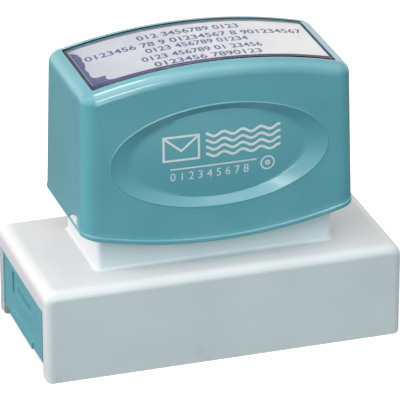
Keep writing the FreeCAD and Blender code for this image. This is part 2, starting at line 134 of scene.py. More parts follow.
# Field in each end panel, and the thumb ribs on it
field_x = 40.75
field_middle = 12.3
thumb_ribs = 7
thumb_rib_pitch = 1.5
thumb_rib_half_width = 0.4
thumb_rib_half_height = 1.05
thumb_rib_proud = 0.34
thumb_rib_sunk = 0.02

# Rows of numbers on the index card and on the die: text, left end, right end, baseline
rows_of_numbers = [
    ("012 3456789 0123", -11.8, 11.7, 6.2),
    ("0123456 78 9 01234567 8 901234567", -24.5, 25.6, 2.2),
    ("0123 456789 01234", -12.0, 11.5, -1.2),
    ("0123 456789 01 23456", -14.0, 13.5, -5.2),
    ("0123456 7890123", -12.3, 12.2, -8.9),
]
number_height = 2.5
number_weight = 0.02
row_reach = 35.0
row_rise = 1.0
row_bow = 3.0

# Print at the edges of the index card: a line at the left and at the back, and the blot's soft
# corner. In front a dark strip follows the bowed edge, with a lighter line in its left half;
# the four distances are those of the edges of the strip and of the line in it.
border_side = 26.95
side_x = -26.77
side_front = -9.6
side_width = 0.38
back_y = 10.9
back_width = 0.25
blot_left = -26.4
blot_soft = 0.9
line_left = -26.9
line_right = 26.9
line_end = 2.0
front_line = -9.3
front_bow = 0.4
front_half = 26.0
front_distances = (0.12, 0.62, 0.78, 1.92)


def linear(hex_colour):
    """An sRGB hex colour as linear RGBA."""
    parts = [int(hex_colour[i:i + 2], 16) / 255 for i in (1, 3, 5)]
    flat = [p / 12.92 if p <= 0.04045 else ((p + 0.055) / 1.055) ** 2.4 for p in parts]
    return (*flat, 1.0)


def add(tree, kind, settings=None, inputs=None, links=None, stops=None):
    """A node with its settings, its constant inputs, its links and a ramp's colour stops."""
    node = tree.nodes.new(kind)
    for name, value in (settings or {}).items():
        setattr(node, name, value)
    for name, value in (inputs or {}).items():
        node.inputs[name].default_value = value
    for name, socket in (links or {}).items():
        tree.links.new(socket, node.inputs[name])
    for number, (place, colour) in enumerate(stops or []):
        stop = node.color_ramp.elements[number]
        stop.position = place
        stop.color = linear(colour)
    return node


# Materials

gloss_drift = 0.03
polish_roughness = 0.14
acrylic_index = 1.49
anti_glare_share = 0.85


def new_material(name):
    """A material with nodes, its node tree and its Principled shader."""
    material = bpy.data.materials.new(name)
    material.use_nodes = True
    tree = material.node_tree
    return material, tree, tree.nodes["Principled BSDF"]


def noise(tree, place, size, detail):
    """Noise whose patches have a size in millimetres."""
    return add(tree, "ShaderNodeTexNoise", inputs={"Scale": 1 / (size * MM), "Detail": detail},
               links={"Vector": place}).outputs["Fac"]


def relief(tree, shader, height, depth):
    """Gives a shader a bumpy skin, with a depth in millimetres."""
    bump = add(tree, "ShaderNodeBump", inputs={"Strength": 1.0, "Distance": depth * MM},
               links={"Height": height}).outputs["Normal"]
    tree.links.new(bump, shader.inputs["Normal"])
    return bump


def finish_of(name, low, high, patch, roughness, grain, relief_depth, ior=1.5, metallic=0.0,
              polish=0.0):
    """A solid finish: its colour drifts between two close tones over patches of a given size,
    its gloss drifts with it, and a fine grain of a given size and depth lies on top.
    Sizes are in millimetres. Polish is the weight of a smooth coat, which adds sharp, narrow
    highlights to the broad ones."""
    material, tree, shader = new_material(name)
    shader.inputs["Coat Weight"].default_value = polish
    shader.inputs["Coat Roughness"].default_value = polish_roughness
    shader.inputs["IOR"].default_value = ior
    shader.inputs["Metallic"].default_value = metallic
    place = add(tree, "ShaderNodeTexCoord").outputs["Object"]
    drift = noise(tree, place, patch, 2.0)
    tone = add(tree, "ShaderNodeValToRGB", links={"Fac": drift},
               stops=[(0.35, low), (0.65, high)]).outputs["Color"]
    gloss = add(tree, "ShaderNodeMapRange",
                inputs={"From Min": 0.3, "From Max": 0.7, "To Min": roughness - gloss_drift,
                        "To Max": roughness + gloss_drift},
                links={"Value": drift}).outputs["Result"]
    tree.links.new(tone, shader.inputs["Base Color"])
    tree.links.new(gloss, shader.inputs["Roughness"])
    relief(tree, shader, noise(tree, place, grain, 3.0), relief_depth)
    return material


def tint_along(material, first, last, low, high):
    """Multiplies a finish's colour by a tint that changes along X between two places, given
    in millimetres."""
    tree = material.node_tree
    shader = tree.nodes["Principled BSDF"]
    place = add(tree, "ShaderNodeTexCoord").outputs["Object"]
    along = add(tree, "ShaderNodeSeparateXYZ", links={"Vector": place}).outputs["X"]
    share = add(tree, "ShaderNodeMapRange",
                inputs={"From Min": first * MM, "From Max": last * MM},
                links={"Value": along}).outputs["Result"]
    tint = add(tree, "ShaderNodeValToRGB", links={"Fac": share},
               stops=[(0.0, low), (1.0, high)]).outputs["Color"]
    tone = shader.inputs["Base Color"].links[0].from_socket
    both = add(tree, "ShaderNodeMixRGB", settings={"blend_type": "MULTIPLY"},
               inputs={"Fac": 1.0}, links={"Color1": tone, "Color2": tint}).outputs["Color"]
    tree.links.new(both, shader.inputs["Base Color"])


def clear_acrylic():
    """Polished acrylic with an anti-glare coat: it bends the view of the card as a real cover
    does, but shows only a small share of the usual reflection. The lamps' light passes through
    it to the card without a shadow."""
    material, tree, shader = new_material("clear_acrylic_anti_glare")
    shader.inputs["Base Color"].default_value = linear("#fbfdfe")
    shader.inputs["Transmission Weight"].default_value = 1.0
    shader.inputs["Roughness"].default_value = 0.0
    shader.inputs["IOR"].default_value = acrylic_index
    place = add(tree, "ShaderNodeTexCoord").outputs["Object"]
    bump = relief(tree, shader, noise(tree, place, 9, 1.0), 0.01)
    lamp_ray = add(tree, "ShaderNodeLightPath").outputs["Is Shadow Ray"]
    through = add(tree, "ShaderNodeBsdfTransparent")
    both = add(tree, "ShaderNodeMixShader", links={"Fac": lamp_ray})
    bare = add(tree, "ShaderNodeBsdfRefraction",
               inputs={"IOR": acrylic_index, "Roughness": 0.0}, links={"Normal": bump})
    coated = add(tree, "ShaderNodeMixShader", inputs={"Fac": anti_glare_share})
    tree.links.new(shader.outputs["BSDF"], coated.inputs[1])
    tree.links.new(bare.outputs["BSDF"], coated.inputs[2])
    tree.links.new(coated.outputs["Shader"], both.inputs[1])
    tree.links.new(through.outputs["BSDF"], both.inputs[2])
    tree.links.new(both.outputs["Shader"], tree.nodes["Material Output"].inputs["Surface"])
    return material


# Glossy ABS, moulded in a polished tool: clean reflections with a faint ripple
teal_gloss = finish_of("abs_teal_polished", "#5fa6b3", "#63aab7", 14, 0.3, 0.9, 0.0012,
                       polish=0.6)
# The same ABS from a plainer tool, for the panels and the carrier
teal_satin = finish_of("abs_teal_satin", "#5da5b3", "#62aab7", 9, 0.34, 0.35, 0.002)
# Pale grey ABS with a fine satin texture
grey_satin = finish_of("abs_grey_satin", "#d0dadd", "#d5dfe2", 16, 0.3, 0.3, 0.0025)
# Natural acetal for the insert, which is slightly translucent and slippery
acetal_pale = finish_of("acetal_pale", "#d3e3e6", "#dbe9ec", 6, 0.34, 0.3, 0.002)
# Grey acetal for the crosshead
acetal_grey = finish_of("acetal_grey", "#b9c0c3", "#c3cacd", 6, 0.4, 0.3, 0.002)
# Laser-cut rubber for the die, dull and faintly inked
die_rubber = finish_of("rubber_die_inked", "#2e2c4e", "#3a3760", 5, 0.62, 0.25, 0.01, ior=1.52)
# Moulded rubber for the filler plug
plug_rubber = finish_of("rubber_black_moulded", "#1b1c20", "#24262b", 4, 0.6, 0.2, 0.006)
# Wool felt soaked with ink
felt = finish_of("felt_inked", "#262352", "#37336e", 2.5, 0.9, 0.12, 0.05)
# Bright drawn spring wire
spring_wire = finish_of("spring_steel_drawn", "#b9b9b6", "#cbcbc8", 3, 0.24, 0.15, 0.001,
                        metallic=1.0)
# Zinc-plated screws
plated_steel = finish_of("screw_steel_zinc", "#b7bcc2", "#cdd1d6", 2, 0.3, 0.15, 0.001,
                         metallic=1.0)
# Index card: smooth coated paper, greyer towards its left end
coated_paper = finish_of("paper_coated", "#cbd1dc", "#d4d9e3", 7, 0.6, 0.2, 0.003)
tint_along(coated_paper, -30, 30, "#b4bdc0", "#e8ede8")
# Card printed in the ink's colour
ink_card = finish_of("paper_ink_print", "#1d2450", "#272f5e", 5, 0.8, 0.2, 0.003)
# Violet ink on the index card, and the inks of its dark border and of the line in it
violet_ink = finish_of("ink_violet", "#3d4a70", "#455178", 1.2, 0.92, 0.15, 0.002)
navy_ink = finish_of("ink_navy", "#0a1740", "#13204a", 2, 0.92, 0.15, 0.002)
blue_ink = finish_of("ink_blue_grey", "#536a92", "#5d749c", 2, 0.92, 0.15, 0.002)
# Silver-white pad print on the handle
silver_ink = finish_of("ink_silver", "#d5dfe1", "#e0e8ea", 1.5, 0.35, 0.12, 0.002)
acrylic = clear_acrylic()


# Meshes

crease = math.radians(35)


def points_of(*parts):
    """Points from their coordinates, each an array or one number for all the points."""
    return np.stack(np.broadcast_arrays(*parts), axis=-1)


def unit(vectors):
    """Vectors in rows, each brought to a length of one."""
    return vectors / np.linalg.norm(vectors, axis=1)[:, None]


def weld_and_orient(mesh, orient):
    """Joins the points that lie in one place, and turns the faces of a closed skin outwards."""
    skin = bmesh.new()
    skin.from_mesh(mesh)
    bmesh.ops.remove_doubles(skin, verts=skin.verts, dist=2e-4 * MM)
    bmesh.ops.dissolve_degenerate(skin, edges=skin.edges, dist=1e-4 * MM)
    if orient:
        bmesh.ops.recalc_face_normals(skin, faces=skin.faces)
    skin.to_mesh(mesh)
    skin.free()


def grid_mesh(name, sheets, orient):
    """A mesh from several grids of points. A grid is (rows, columns, 3) in millimetres, and
    its neighbouring points share a face. Grids that meet are welded along their edges."""
    points = []
    faces = []
    first = 0
    for sheet in sheets:
        rows, columns = sheet.shape[:2]
        number = first + np.arange(rows * columns).reshape(rows, columns)
        faces.append(np.stack([number[:-1, :-1], number[:-1, 1:], number[1:, 1:],
                               number[1:, :-1]], axis=-1).reshape(-1, 4))
        points.append(sheet.reshape(-1, 3))
        first += rows * columns
    mesh = bpy.data.meshes.new(name)
    mesh.from_pydata(np.concatenate(points) * MM, [], np.concatenate(faces))
    weld_and_orient(mesh, orient)
    return mesh


def make_piece(name, sheets, material, body, orient=True):
    """One object from several grids, smooth but for its sharp edges."""
    mesh = grid_mesh(name, sheets, orient)
    mesh.polygons.foreach_set("use_smooth", np.ones(len(mesh.polygons), dtype=bool))
    mesh.set_sharp_from_angle(angle=crease)
    return add_object(name, mesh, material, body)


def new_object(name, data):
    """An object in the scene."""
    made = bpy.data.objects.new(name, data)
    bpy.context.scene.collection.objects.link(made)
    return made


def add_object(name, mesh, material, body):
    """Puts a finished mesh in the scene, on a body."""
    mesh.materials.clear()
    mesh.materials.append(material)
    piece = new_object(name, mesh)
    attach(piece, body)
    return piece


def outline_stations(straight_x, straight_y, corner):
    """A walk round a rounded rectangle. Each station has the place of its corner circle as a
    share of the half sizes, and the direction of its outward normal. On a straight side the
    share runs from one corner to the next; in a corner only the direction turns."""
    shares = []
    angles = []
    corners = [(-1, -1), (1, -1), (1, 1), (-1, 1)]
    counts = [straight_x, straight_y, straight_x, straight_y]
    for number, count in enumerate(counts):
        start = np.array(corners[number], dtype=float)
        end = np.array(corners[(number + 1) % 4], dtype=float)
        along = np.linspace(0, 1, count + 1)[:, None]
        facing = math.radians(-90 + 90 * number)
        shares.append(start + (end - start) * along)
        angles.append(np.full(count + 1, facing))
        turn = np.linspace(0, math.pi / 2, corner + 1)[1:-1]
        shares.append(np.repeat(end[None], corner - 1, axis=0))
        angles.append(facing + turn)
    shares.append(shares[0][:1])
    angles.append(angles[0][:1] + 2 * math.pi)
    return np.concatenate(shares), np.concatenate(angles)


def rounded_rectangle(stations, half_x, half_y, radius):
    """Points of the outline: the corner circle's centre plus the radius along the normal."""
    shares, angles = stations
    x = shares[:, 0] * (half_x - radius) + radius * np.cos(angles)
    y = shares[:, 1] * (half_y - radius) + radius * np.sin(angles)
    return x, y


def ring(stations, half_x, half_y, radius, inset, z):
    """One closed row of points: the outline drawn in by an inset, at a height."""
    x, y = rounded_rectangle(stations, half_x - inset, half_y - inset, max(radius - inset, 0))
    return points_of(x, y, z)


def arc(centre, radius, start, end, steps):
    """Points of a circle's arc in a section, as rows of two coordinates; angles in degrees."""
    angle = np.radians(np.linspace(start, end, steps + 1))
    return points_of(centre[0] + radius * np.cos(angle), centre[1] + radius * np.sin(angle))


# Handle

front_steps = 112
end_steps = 44
corner_steps = 14
stations = outline_stations(front_steps, end_steps, corner_steps)
shares, facing = stations
outward = points_of(np.cos(facing), np.sin(facing), 0.0)


def arch(x, depth=0.0):
    """Height of the arch that lies a given depth under the handle's top."""
    radius = arch_radius - depth
    return crown_height - depth - radius + np.sqrt(radius ** 2 - x ** 2)


def rim(x):
    """Height of the rim, which sags between the ends along the arch's radius."""
    at_end = math.sqrt(arch_radius ** 2 - (handle_length / 2) ** 2)
    return rim_height + at_end - np.sqrt(arch_radius ** 2 - x ** 2)


def side(z, inset=0.0, radius=corner_round):
    """Points of the handle's drafted side, one for each station, at heights z."""
    taper = (z - rim_height) * draft + inset
    x = shares[:, 0] * (handle_length / 2 - taper - radius) + radius * np.cos(facing)
    y = shares[:, 1] * (handle_width / 2 - taper - radius) + radius * np.sin(facing)
    return points_of(x, y, z)


def side_under(surface, inset=0.0, radius=corner_round, **depth):
    """The line where the drafted side meets an arch or the rim, found in a few rounds."""
    z = np.full(len(facing), rim_height)
    for _ in range(5):
        z = surface(side(z, inset, radius)[:, 0], **depth)
    return side(z, inset, radius)


def top_fillet(steps):
    """The rounding between side and arch. In each station's upright plane it is the arc that
    touches the side's line going down and the arch's line going in."""
    edge = side_under(arch)
    down = unit(outward * draft - np.array([0, 0, 1.0]))
    slope = -edge[:, 0] / np.sqrt(arch_radius ** 2 - edge[:, 0] ** 2)
    inward = -outward
    inward[:, 2] = -outward[:, 0] * slope
    inward = unit(inward)
    opening = np.arccos(np.sum(down * inward, axis=1))
    reach = top_round / np.tan(opening / 2)
    across = unit(inward - np.sum(inward * down, axis=1)[:, None] * down)
    centre = edge + down * reach[:, None] + across * top_round
    rows = []
    for share in np.linspace(0, 1, steps + 1):
        angle = ((math.pi - opening) * share)[:, None]
        rows.append(centre - top_round * (across * np.cos(angle) + down * np.sin(angle)))
    return np.array(rows)


def on_arch(points, depth):
    """The same points, moved up or down onto an arch."""
    moved = points.copy()
    moved[:, 2] = arch(points[:, 0], depth)
    return moved


def shrink(points, steps, surface):
    """Rows that draw a ring in to its middle line, each laid on a surface, which closes it."""
    half_gap = np.abs(points[:, 0]).max() - np.abs(points[:, 1]).max()
    middle = np.zeros_like(points)
    middle[:, 0] = np.clip(points[:, 0], -half_gap, half_gap)
    share = np.linspace(0, 1, steps + 1)[:, None, None]
    rows = points + (middle - points) * share
    rows[..., 2] = surface(rows[..., 0])
    return rows


def rim_rows():
    """The rim from its inner corner, under its edge and round the outside. The front and the
    back have a raised bead there, which dies away around the corners; the ends are plain.
    A section is given as (inset from the side, height over the rim's lowest line)."""
    under = arc((wall - rim_edge, rim_edge), rim_edge, 0, -90, 4)
    beaded = np.concatenate([
        arc((0.0, bead_proud), bead_proud, -90, -180, 4),
        arc((0.0, bead_height - bead_proud), bead_proud, 180, 105, 4),
        [(-0.02, bead_height + 0.02), (0.0, bead_height + 0.09)],
    ])
    plain = beaded.copy()
    plain[:, 0] = 0
    plain[:5] = arc((bead_proud, bead_proud), bead_proud, -90, -180, 4)
    beaded = np.concatenate([under, beaded])
    plain = np.concatenate([under, plain])
    share = np.abs(np.sin(facing))
    rows = []
    for (bead_inset, height), (plain_inset, _) in zip(beaded, plain):
        inset = plain_inset + (bead_inset - plain_inset) * share
        radius = np.clip(corner_round - inset, inner_round, corner_round)
        base = side_under(rim, inset=inset, radius=radius)
        rows.append(side(base[:, 2] + height, inset, radius))
    return np.array(rows)


def wall_rows(low, high, steps, inset=0.0, radius=corner_round):
    """Rows of the side between two lines, evenly spaced in height."""
    return np.array([side(low[:, 2] + (high[:, 2] - low[:, 2]) * share, inset, radius)
                     for share in np.linspace(0, 1, steps + 1)])


def face_y(z):
    """Distance of the flat front or back face from the middle plane, at a height."""
    return handle_width / 2 - (z - rim_height) * draft


def dish_floor(across, up):
    """Depth of the dish's floor under the face: full at its edge, less in the middle, where
    the floor swells like a shallow lens."""
    share = np.clip((2 * across / floor_length) ** 2 + (2 * up / floor_height) ** 2, 0, 1)
    return dish_depth - dish_swell * (1 - share)


def dish_rows(border, sign):
    """The face around the oval, the fine bead, the sloped wall and the floor, as rings from a
    four-sided border in to the middle. On each ring a point keeps the direction that its
    border point has from the oval's centre."""
    across = border[:, 0] * sign
    up = border[:, 2] - dish_centre
    angle = np.arctan2(up / oval_height, across / oval_length)
    cos, sin = np.cos(angle), np.sin(angle)
    rings = []
    out = bead_line + 0.1
    for share in np.linspace(0, 1, 10) ** 0.8:
        rings.append((across + ((oval_length / 2 + out) * cos - across) * share,
                      up + ((oval_height / 2 + out) * sin - up) * share, 0.0))
    for share in np.linspace(0, 1, 9):
        offset = bead_line * (1 - share)
        proud = bead_line_proud * np.sin(math.pi * share) ** 1.5
        rings.append(((oval_length / 2 + offset) * cos, (oval_height / 2 + offset) * sin,
                      -proud))
    for share in np.linspace(0, 1, 12)[1:]:
        half_x = (oval_length + (floor_length - oval_length) * share) / 2
        half_z = (oval_height + (floor_height - oval_height) * share) / 2
        soft = dish_edge * max(share - 0.8, 0) ** 2
        rings.append((half_x * cos, half_z * sin, dish_depth * share - soft))
    for share in np.linspace(1, 0, 15)[1:]:
        x = floor_length / 2 * share * cos
        z = floor_height / 2 * share * sin
        rings.append((x, z, dish_floor(x, z)))
    rows = []
    for x, z, depth in rings:
        height = dish_centre + z
        rows.append(points_of(x * sign, -sign * (face_y(height) - depth), height))
    return np.array(rows)


def block_border(grid, first, last):
    """The border points of a block of a grid, in order and closed."""
    block = grid[:, first:last + 1]
    return np.concatenate([block[0, :-1], block[:-1, -1], block[-1, :0:-1], block[:0:-1, 0],
                           block[0, :1]])


def latch_cutter(end):
    """A prism along X with the latch's outline: upright at the front, level at the bottom,
    and a shallow arc from the front's top to the bottom's rear."""
    peak = np.array([-latch_front, latch_bottom + latch_height])
    heel = np.array([-latch_front + latch_width, latch_bottom])
    chord = heel - peak
    half_chord = np.linalg.norm(chord) / 2
    radius = (half_chord ** 2 + latch_bow ** 2) / (2 * latch_bow)
    outwards = np.array([latch_height, latch_width]) / np.linalg.norm(chord)
    centre = (peak + heel) / 2 - outwards * (radius - latch_bow)
    start = math.atan2(*(peak - centre)[::-1])
    finish = math.atan2(*(heel - centre)[::-1])
    angle = np.linspace(start, finish, 25)
    bow = centre + radius * points_of(np.cos(angle), np.sin(angle))
    outline = np.concatenate([bow, [[-latch_front, latch_bottom]], bow[:1]])
    reach = np.array([handle_length / 2 - 3 * wall, handle_length / 2 + wall])
    rows = []
    for x, draw in ((reach[0], 0), (reach[0], 1), (reach[1], 1), (reach[1], 0)):
        middle = outline[:-1].mean(axis=0)
        yz = middle + (outline - middle) * draw
        rows.append(points_of(x, *yz.T))
    prism = np.array(rows)
    prism[..., 0] *= end
    prism[..., 1] *= -end
    return prism


def straight_box(x_low, x_high, y_low, y_high, z_low, z_high):
    """The four rings of a closed box: both ends drawn in to their middle."""
    corners = np.array([(x_low, y_low), (x_high, y_low), (x_high, y_high), (x_low, y_high),
                        (x_low, y_low)])
    middle = corners[:4].mean(axis=0)
    rows = []
    for z, draw in ((z_low, 0), (z_low, 1), (z_high, 1), (z_high, 0)):
        xy = middle + (corners - middle) * draw
        rows.append(points_of(*xy.T, z))
    return np.array(rows)


def arched_plate(name, size, depths, edge, material):
    """A plate between two arches. Its rows run over the rounded edge, from the upper face to
    the lower one; each face is its edge row drawn in to its middle line on the arch."""
    rounding = np.concatenate([arc((edge, depths[0] + edge), edge, -90, -180, 3),
                               arc((edge, depths[1] - edge), edge, 180, 90, 3)])
    rows = [on_arch(ring(stations, size[0] / 2, size[1] / 2, plate_corner, inset, 0), depth)
            for inset, depth in rounding]
    upper = shrink(rows[0], 10, lambda x: arch(x, depths[0]))
    lower = shrink(rows[-1], 10, lambda x: arch(x, depths[1]))
    return make_piece(name, [np.array(rows), upper, lower], material, "handle")


def make_window_and_cards():
    """The clear cover, the index card and the card in the ink's colour, each on the arch."""
    cover = (pocket_length - 2 * window_gap, pocket_width - 2 * window_gap)
    card = (cover[0] - 2 * card_margin, cover[1] - 2 * card_margin)
    window = arched_plate("window", cover, (0.0, window_thickness), window_edge,
                          acrylic)
    paper = arched_plate("card_paper", card, (card_top, card_top + card_thickness),
                         card_rounding, coated_paper)
    colour = arched_plate("card_colour", cover,
                          (colour_card_top, colour_card_top + colour_card_thickness),
                          card_rounding, ink_card)
    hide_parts("index_window")
    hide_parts("index_card")
    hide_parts("colour_card")


# Prints


def triangles(quads):
    """Each four-cornered face as two triangles."""
    return np.concatenate([quads[:, [0, 1, 2]], quads[:, [0, 2, 3]]])


def between(first, second):
    """The flat area between two lines with the same number of points."""
    number = np.arange(2 * len(first)).reshape(2, -1)
    quads = np.stack([number[0, :-1], number[0, 1:], number[1, 1:], number[1, :-1]], axis=-1)
    return np.concatenate([first, second]), triangles(quads)


def band(line, width, closed=False):
    """A flat band of even width along a line of points. At each point both edges lie on the
    bisector of the two runs that meet there, so the edges stay parallel to the runs."""
    line = np.asarray(line, dtype=float)
    run = unit(np.diff(line, axis=0))
    aside = points_of(-run[:, 1], run[:, 0])
    first, last = (aside[-1:], aside[:1]) if closed else (aside[:1], aside[-1:])
    before = np.concatenate([first, aside])
    after = np.concatenate([aside, last])
    bisector = (before + after) / (1 + np.sum(before * after, axis=1))[:, None]
    return between(line - bisector * width / 2, line + bisector * width / 2)


def run_of(corners, step=0.8):
    """The same corners, with points added on the straight runs between them."""
    points = [np.array(corners[:1], dtype=float)]
    for start, end in zip(corners[:-1], corners[1:]):
        start, end = np.array(start, dtype=float), np.array(end, dtype=float)
        count = max(int(np.linalg.norm(end - start) / step), 1)
        points.append(start + (end - start) * np.linspace(0, 1, count + 1)[1:, None])
    return np.concatenate(points)


def digits(text, thickness=0.0, bold=0.0):
    """Points and triangles of a row of digits, as high as 1, from x = 0 and y = 0 up. With a
    thickness the digits are solid and lie half over and half under z = 0."""
    curve = bpy.data.curves.new("digits", "FONT")
    curve.body = text
    curve.offset = bold
    curve.resolution_u = 4
    curve.extrude = thickness / 2
    writer = new_object("digits", curve)
    bpy.context.view_layer.update()
    graph = bpy.context.evaluated_depsgraph_get()
    mesh = bpy.data.meshes.new_from_object(writer.evaluated_get(graph))
    mesh.calc_loop_triangles()
    points = np.empty(len(mesh.vertices) * 3, dtype=np.float32)
    mesh.vertices.foreach_get("co", points)
    corners = np.empty(len(mesh.loop_triangles) * 3, dtype=np.int32)
    mesh.loop_triangles.foreach_get("vertices", corners)
    bpy.data.objects.remove(writer)
    bpy.data.meshes.remove(mesh)
    bpy.data.curves.remove(curve)
    points = points.reshape(-1, 3)
    low, high = points.min(axis=0), points.max(axis=0)
    points[:, :2] = (points[:, :2] - low[:2]) / (high[1] - low[1])
    return points, corners.reshape(-1, 3)


def join_shapes(shapes):
    """Several sets of points and triangles as one."""
    first = np.cumsum([0] + [len(points) for points, _ in shapes[:-1]])
    points = np.concatenate([points for points, _ in shapes])
    faces = np.concatenate([faces + start for (_, faces), start in zip(shapes, first)])
    return points, faces


def print_piece(name, shapes, place, material, body):
    """Ink on a surface: flat shapes, laid there by a function of their flat points."""
    points, faces = join_shapes(shapes)
    mesh = bpy.data.meshes.new(name)
    mesh.from_pydata(place(points) * MM, [], faces)
    return add_object(name, mesh, material, body)


def on_card(flat):
    """Flat points (x, y) on the index card, a little above it."""
    return points_of(flat[:, 0], flat[:, 1], arch(flat[:, 0], card_top) + print_lift)


def on_dish(flat, sign):
    """Flat points (across, up from the dish's middle) on the dish's floor, a little above."""
    depth = dish_floor(flat[:, 0], flat[:, 1]) - print_lift
    height = dish_centre + flat[:, 1]
    return points_of(flat[:, 0] * sign, -sign * (face_y(height) - depth), height)


def row_of_numbers(text, left, right, baseline, thickness=0.0, bold=0.0):
    """A row of digits between two ends. It leans back by 1 mm in 35 mm towards the right, and
    its ends lie further back than its middle, by 3 mm at a distance of 35 mm."""
    points, faces = digits(text, thickness, bold)
    x = left + points[:, 0] / points[:, 0].max() * (right - left)
    share = x / row_reach
    y = baseline + points[:, 1] * number_height + row_rise * share + row_bow * share ** 2
    return points_of(x, y), points[:, 2], faces


def eased(share):
    """A share, kept between 0 and 1, that leaves and reaches its ends gently."""
    share = np.clip(share, 0, 1)
    return share ** 2 * (3 - 2 * share)


def card_blot():
    """Ink that has crept in from the left and front edges of the card. Seen from a point near
    the card's back, it lies between those edges and an inner line. The line's distance from the
    left edge is 1.5 mm, less at the back, where it tapers off, and in front, with a small
    waver. Its distance from the front edge is about 3 mm at the corner, then dies away to the
    right to 0.1 mm. A soft minimum rounds the inner corner."""
    focus = np.array([-12.0, 10.6])
    left, front = 14.44, 19.9
    angle = np.radians(np.linspace(2, 89.5, 150))
    outer = np.minimum(left / np.cos(angle), front / np.sin(angle))
    y = focus[1] - outer * np.sin(angle)
    x = focus[0] - outer * np.cos(angle)
    waver = 0.12 * np.sin(y * 1.5) + 0.05 * np.sin(y * 3.7)
    from_left = 1.5 * eased((10.0 - y) / 2.6) - 0.65 * eased((3.0 - y) / 4.5) + waver
    from_front = 0.12 + 2.2 * np.exp(-np.maximum(x + 24.5, -0.4) / 1.1)
    to_left = (left - np.maximum(from_left, 0.02)) / np.cos(angle)
    to_front = (front - from_front) / np.sin(angle)
    inner = -blot_soft * np.log(np.exp(-to_left / blot_soft) + np.exp(-to_front / blot_soft))
    inner = np.minimum(inner, outer - 0.02)
    ray = -points_of(np.cos(angle), np.sin(angle))
    return between(focus + ray * outer[:, None], focus + ray * inner[:, None])


def card_edge(x):
    """Where the front edge of the printed panel lies: its middle bows forwards by 0.4 mm."""
    return front_line + front_bow * (x / front_half) ** 2


def edge_strip(left, right, near, far):
    """A strip along the front edge of the printed panel, between two distances in front."""
    x = np.linspace(left, right, 60)
    return between(points_of(x, card_edge(x) - near), points_of(x, card_edge(x) - far))


def make_card_print():
    """What the index card shows: rows of numbers, the blot, and a dark border."""
    rows = []
    for row in rows_of_numbers:
        flat, _, faces = row_of_numbers(*row, bold=number_weight)
        rows.append((flat, faces))
    print_piece("card_numbers", rows, on_card, violet_ink, "handle")
    near, line_near, line_far, far = front_distances
    soft = [card_blot(), edge_strip(blot_left, line_right, 0.0, near)]
    print_piece("card_blot", soft, on_card, violet_ink, "handle")
    dark = [edge_strip(-border_side, line_end, near, line_near),
            edge_strip(-border_side, line_end, line_far, far),
            edge_strip(line_end, border_side, near, far),
            band(run_of([(side_x, side_front), (side_x, back_y)]), side_width),
            band(run_of([(side_x, back_y), (line_right, back_y)]), back_width)]
    print_piece("card_border", dark, on_card, navy_ink, "handle")
    line = [edge_strip(line_left, line_end, line_near, line_far)]
    print_piece("card_border_line", line, on_card, blue_ink, "handle")


def make_dish_print(side_name, sign):
    """A generic mail sign in the dish: an envelope, wavy lines, a rule, a ring and digits.
    Places are across and up from the dish's middle."""
    shapes = [band(run_of([(-12.6, -0.4), (-4.6, -0.4), (-4.6, 5.0), (-12.6, 5.0),
                           (-12.6, -0.4)]), 0.5, closed=True),
              band(run_of([(-12.3, 4.7), (-8.6, 1.7), (-4.9, 4.7)]), 0.5)]
    across = np.linspace(-3.0, 14.2, 90)
    wave_height, wave_length = 0.42, 4.3
    for up in (0.0, 1.55, 3.1, 4.65):
        wave = up + wave_height * np.sin(across * 2 * math.pi / wave_length)
        shapes.append(band(points_of(across, wave), 0.6))
    shapes.append(band(run_of([(-11.1, -2.5), (8.6, -2.5)]), 0.34))
    turn = np.linspace(0, 2 * math.pi, 41)
    circle = points_of(np.cos(turn), np.sin(turn))
    ring_middle = (11.2, -3.7)
    shapes.append(band(circle * 1.5 + ring_middle, 0.34, closed=True))
    shapes.append(band(circle * 0.4 + ring_middle, 0.4, closed=True))
    points, faces = digits("0 1 2 3 4 5 6 7 8")
    across = -11.1 + points[:, 0] / points[:, 0].max() * 17.9
    shapes.append((points_of(across, -5.3 + points[:, 1] * 1.9), faces))
    print_piece("dish_print_" + side_name, shapes, lambda flat: on_dish(flat, sign),
                silver_ink, "handle")


# Die, ink pad, wick and small ribs


def turned_in(name, section, middle_low, middle_high, material, body):
    """A closed slab whose rings follow a section of (half length, half width, corner, height).
    The first and the last ring are drawn in to a middle line at given heights."""
    rows = [ring(stations, x, y, corner, 0, z) for x, y, corner, z in section]
    first = shrink(rows[0], 12, lambda x: middle_low)
    last = shrink(rows[-1], 12, lambda x: middle_high)
    return make_piece(name, [np.array(rows), first, last], material, body)


def make_die():
    """The rubber die: a block under a flange, with raised numbers on its lower face."""
    half_x, half_y = die_size[0] / 2, die_size[1] / 2
    out_x, out_y = flange_size[0] / 2, flange_size[1] / 2
    ground = die_face + die_relief
    section = [
        (half_x - 0.3, half_y - 0.3, 0.5, ground),
        (half_x - 0.1, half_y - 0.1, 0.6, ground + 0.06),
        (half_x, half_y, 0.7, ground + 0.25),
        (half_x, half_y, 0.7, flange_bottom),
        (out_x - 0.1, out_y - 0.1, 0.6, flange_bottom),
        (out_x, out_y, 0.7, flange_bottom + 0.1),
        (out_x, out_y, 0.7, die_top - 0.1),
        (out_x - 0.1, out_y - 0.1, 0.6, die_top),
    ]
    block = turned_in("die_block", section, ground, die_top, die_rubber, "press_unit")
    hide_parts("stamp_die")
    shapes = []
    for row in rows_of_numbers:
        flat, depth, faces = row_of_numbers(*row, thickness=digit_depth)
        height = depth * (die_relief + 2 * digit_sunk) / digit_depth
        z = die_face + die_relief / 2 + digit_sunk + height
        shapes.append((points_of(*flat.T, z), faces))
    print_piece("die_numbers", shapes, lambda points: points, die_rubber, "press_unit")


